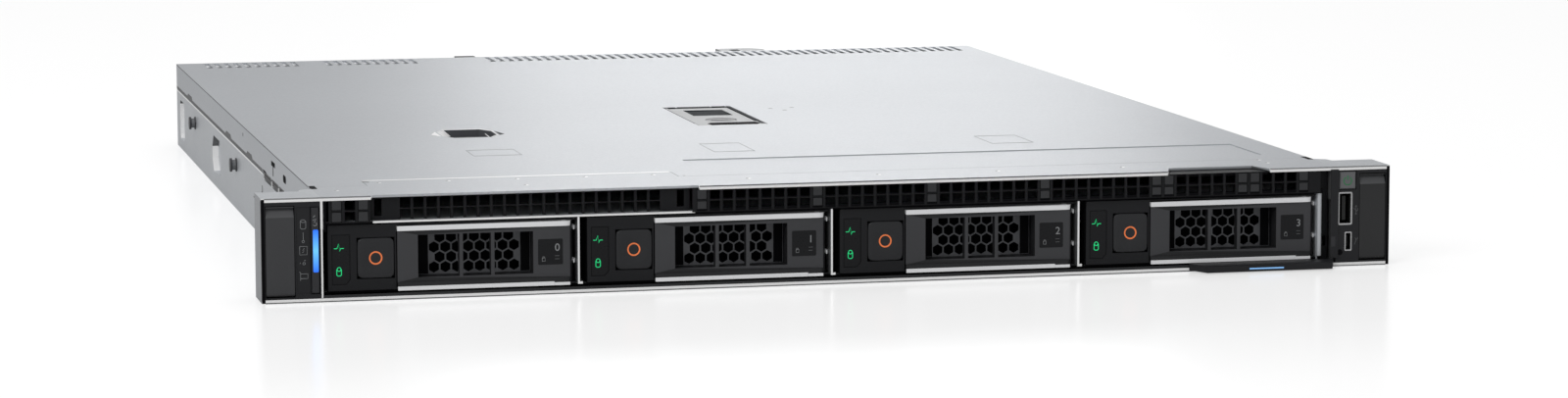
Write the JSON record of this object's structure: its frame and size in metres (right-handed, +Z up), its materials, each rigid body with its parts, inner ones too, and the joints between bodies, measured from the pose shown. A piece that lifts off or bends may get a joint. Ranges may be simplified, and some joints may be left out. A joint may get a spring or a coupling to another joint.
{
  "type": "1u rack server",
  "caption": "Flat rack-mount server with drive carriers and vents across the front, a sliding latched cover, rack ears, and power supplies and sockets at the back.",
  "frame": {"origin": "middle of the footprint of the whole object, on its underside", "axes": "+X to the right seen from the front, +Y from the front to the back, +Z up"},
  "size_m": [0.482, 0.6276, 0.0428],
  "materials": {
    "chassis_steel": "galvanised grey",
    "cover_steel": "light grey satin",
    "bezel_plastic": "fine texture black",
    "handle_trim": "black with bright bars",
    "button_plastic": "satin black",
    "light_bar": "lit blue",
    "power_plastic": "satin grey",
    "port_metal": "plated",
    "stud_steel": "turned",
    "drive_aluminium": "cast",
    "board_green": "circuit board",
    "fin_aluminium": "bare",
    "fan_plastic": "satin black",
    "shroud_plastic": "satin black",
    "latch_grey": "satin grey",
    "supply_aluminium": "satin",
    "touch_orange": "satin"
  },
  "bodies": {
    "chassis": {"base_tray": "chassis_steel", "front_top_panel": "cover_steel", "right_ear": "chassis_steel", "left_ear": "chassis_steel", "left_control_bezel": "bezel_plastic", "right_control_bezel": "bezel_plastic", "front_usb_ports": "port_metal", "drive_cage": "chassis_steel", "bay_dividers": "chassis_steel", "front_grille": "bezel_plastic", "side_vent": "bezel_plastic", "drive_blank": "bezel_plastic", "rail_studs": "stud_steel", "board_standoffs": "stud_steel", "backplane": "board_green", "fan_frames": "fan_plastic", "motherboard": "board_green", "memory_modules": "board_green", "heatsink": "fin_aluminium", "air_shroud": "shroud_plastic", "rear_panel": "chassis_steel", "rear_ports": "port_metal", "slot_blanks": "chassis_steel", "riser_board": "board_green", "psu_cage": "chassis_steel"},
    "cover": {"top_cover": "cover_steel", "latch_housing": "latch_grey"},
    "cover_lever": {"cover_latch": "latch_grey"},
    "lever_lock": {"latch_lock": "latch_grey"},
    "left_thumb_latch": {"left_slam_latch": "button_plastic"},
    "right_thumb_latch": {"right_slam_latch": "button_plastic"},
    "power_key": {"power_button": "power_plastic"},
    "id_key": {"id_button": "light_bar"},
    "tag": {"information_tag": "bezel_plastic"},
    "boot_carrier": {"boot_module": "bezel_plastic"},
    "card_tab": {"card_latch": "latch_grey"},
    "bay_1": {"carrier_1": "bezel_plastic", "drive_1": "drive_aluminium"},
    "pull_1": {"carrier_handle_1": "handle_trim"},
    "bay_button_1": {"release_button_1": "button_plastic"},
    "fan_1": {"fan_rotor_1": "fan_plastic"},
    "bay_2": {"carrier_2": "bezel_plastic", "drive_2": "drive_aluminium"},
    "pull_2": {"carrier_handle_2": "handle_trim"},
    "bay_button_2": {"release_button_2": "button_plastic"},
    "fan_2": {"fan_rotor_2": "fan_plastic"},
    "bay_3": {"carrier_3": "bezel_plastic", "drive_3": "drive_aluminium"},
    "pull_3": {"carrier_handle_3": "handle_trim"},
    "bay_button_3": {"release_button_3": "button_plastic"},
    "fan_3": {"fan_rotor_3": "fan_plastic"},
    "bay_4": {"carrier_4": "bezel_plastic", "drive_4": "drive_aluminium"},
    "pull_4": {"carrier_handle_4": "handle_trim"},
    "bay_button_4": {"release_button_4": "button_plastic"},
    "fan_4": {"fan_rotor_4": "fan_plastic"},
    "supply_1": {"power_supply_1": "supply_aluminium"},
    "supply_latch_1": {"psu_latch_1": "touch_orange"},
    "supply_2": {"power_supply_2": "supply_aluminium"},
    "supply_latch_2": {"psu_latch_2": "touch_orange"}
  },
  "joints": [
    {"name": "cover_slide", "type": "slide", "parent": "chassis", "child": "cover", "axis": [0, 1, 0], "range_m": [0, 0.013]},
    {"name": "cover_lever_turn", "type": "hinge", "parent": "cover", "child": "cover_lever", "pos_m": [0.004, -0.0024, 0.0402], "axis": [-1, 0, 0], "range_deg": [0, 70]},
    {"name": "lever_lock_turn", "type": "hinge", "parent": "cover_lever", "child": "lever_lock", "pos_m": [0.004, -0.0538, 0.041], "axis": [0, 0, 1], "range_deg": [0, 90]},
    {"name": "left_thumb_latch_turn", "type": "hinge", "parent": "chassis", "child": "left_thumb_latch", "pos_m": [-0.2334, -0.3022, 0.0042], "axis": [1, 0, 0], "range_deg": [0, 35], "stiffness_Nm_per_rad": 0.01},
    {"name": "right_thumb_latch_turn", "type": "hinge", "parent": "chassis", "child": "right_thumb_latch", "pos_m": [0.2334, -0.3022, 0.0042], "axis": [1, 0, 0], "range_deg": [0, 35], "stiffness_Nm_per_rad": 0.01},
    {"name": "power_press", "type": "slide", "parent": "chassis", "child": "power_key", "axis": [0, 1, 0], "range_m": [0, 0.0008], "stiffness_N_per_m": 600},
    {"name": "id_press", "type": "slide", "parent": "chassis", "child": "id_key", "axis": [0, 1, 0], "range_m": [0, 0.0005], "stiffness_N_per_m": 600},
    {"name": "tag_pull", "type": "slide", "parent": "chassis", "child": "tag", "axis": [0, -1, 0], "range_m": [0, 0.05]},
    {"name": "bay_1_slide", "type": "slide", "parent": "chassis", "child": "bay_1", "axis": [0, -1, 0], "range_m": [0, 0.185]},
    {"name": "pull_1_turn", "type": "hinge", "parent": "bay_1", "child": "pull_1", "pos_m": [-0.1165, -0.2993, 0.0174], "axis": [0, 0, 1], "range_deg": [0, 60]},
    {"name": "bay_button_1_press", "type": "slide", "parent": "bay_1", "child": "bay_button_1", "axis": [0, 1, 0], "range_m": [0, 0.0015], "stiffness_N_per_m": 500},
    {"name": "bay_2_slide", "type": "slide", "parent": "chassis", "child": "bay_2", "axis": [0, -1, 0], "range_m": [0, 0.185]},
    {"name": "pull_2_turn", "type": "hinge", "parent": "bay_2", "child": "pull_2", "pos_m": [-0.0097, -0.2993, 0.0174], "axis": [0, 0, 1], "range_deg": [0, 60]},
    {"name": "bay_button_2_press", "type": "slide", "parent": "bay_2", "child": "bay_button_2", "axis": [0, 1, 0], "range_m": [0, 0.0015], "stiffness_N_per_m": 500},
    {"name": "bay_3_slide", "type": "slide", "parent": "chassis", "child": "bay_3", "axis": [0, -1, 0], "range_m": [0, 0.185]},
    {"name": "pull_3_turn", "type": "hinge", "parent": "bay_3", "child": "pull_3", "pos_m": [0.0971, -0.2993, 0.0174], "axis": [0, 0, 1], "range_deg": [0, 60]},
    {"name": "bay_button_3_press", "type": "slide", "parent": "bay_3", "child": "bay_button_3", "axis": [0, 1, 0], "range_m": [0, 0.0015], "stiffness_N_per_m": 500},
    {"name": "bay_4_slide", "type": "slide", "parent": "chassis", "child": "bay_4", "axis": [0, -1, 0], "range_m": [0, 0.185]},
    {"name": "pull_4_turn", "type": "hinge", "parent": "bay_4", "child": "pull_4", "pos_m": [0.2039, -0.2993, 0.0174], "axis": [0, 0, 1], "range_deg": [0, 60]},
    {"name": "bay_button_4_press", "type": "slide", "parent": "bay_4", "child": "bay_button_4", "axis": [0, 1, 0], "range_m": [0, 0.0015], "stiffness_N_per_m": 500},
    {"name": "supply_1_slide", "type": "slide", "parent": "chassis", "child": "supply_1", "axis": [0, 1, 0], "range_m": [0, 0.18]},
    {"name": "supply_latch_1_press", "type": "hinge", "parent": "supply_1", "child": "supply_latch_1", "pos_m": [-0.159, 0.265, 0.0301], "axis": [-1, 0, 0], "range_deg": [0, 4.5], "stiffness_Nm_per_rad": 0.3},
    {"name": "supply_2_slide", "type": "slide", "parent": "chassis", "child": "supply_2", "axis": [0, 1, 0], "range_m": [0, 0.18]},
    {"name": "supply_latch_2_press", "type": "hinge", "parent": "supply_2", "child": "supply_latch_2", "pos_m": [-0.0955, 0.265, 0.0301], "axis": [-1, 0, 0], "range_deg": [0, 4.5], "stiffness_Nm_per_rad": 0.3},
    {"name": "boot_slide", "type": "slide", "parent": "chassis", "child": "boot_carrier", "axis": [0, 1, 0], "range_m": [0, 0.1]},
    {"name": "card_tab_turn", "type": "hinge", "parent": "chassis", "child": "card_tab", "pos_m": [0.0945, 0.2838, 0.0394], "axis": [-1, 0, 0], "range_deg": [0, 75]},
    {"name": "fan_1_spin", "type": "hinge", "parent": "chassis", "child": "fan_1", "pos_m": [-0.062, 0.0322, 0.021], "axis": [0, 1, 0], "continuous": true},
    {"name": "fan_2_spin", "type": "hinge", "parent": "chassis", "child": "fan_2", "pos_m": [0.002, 0.0322, 0.021], "axis": [0, 1, 0], "continuous": true},
    {"name": "fan_3_spin", "type": "hinge", "parent": "chassis", "child": "fan_3", "pos_m": [0.066, 0.0322, 0.021], "axis": [0, 1, 0], "continuous": true},
    {"name": "fan_4_spin", "type": "hinge", "parent": "chassis", "child": "fan_4", "pos_m": [0.13, 0.0322, 0.021], "axis": [0, 1, 0], "continuous": true}
  ],
  "couplings": [
    {"joint": "cover_lever_turn", "follows": "cover_slide", "rad_per_m": 93.9}
  ]
}
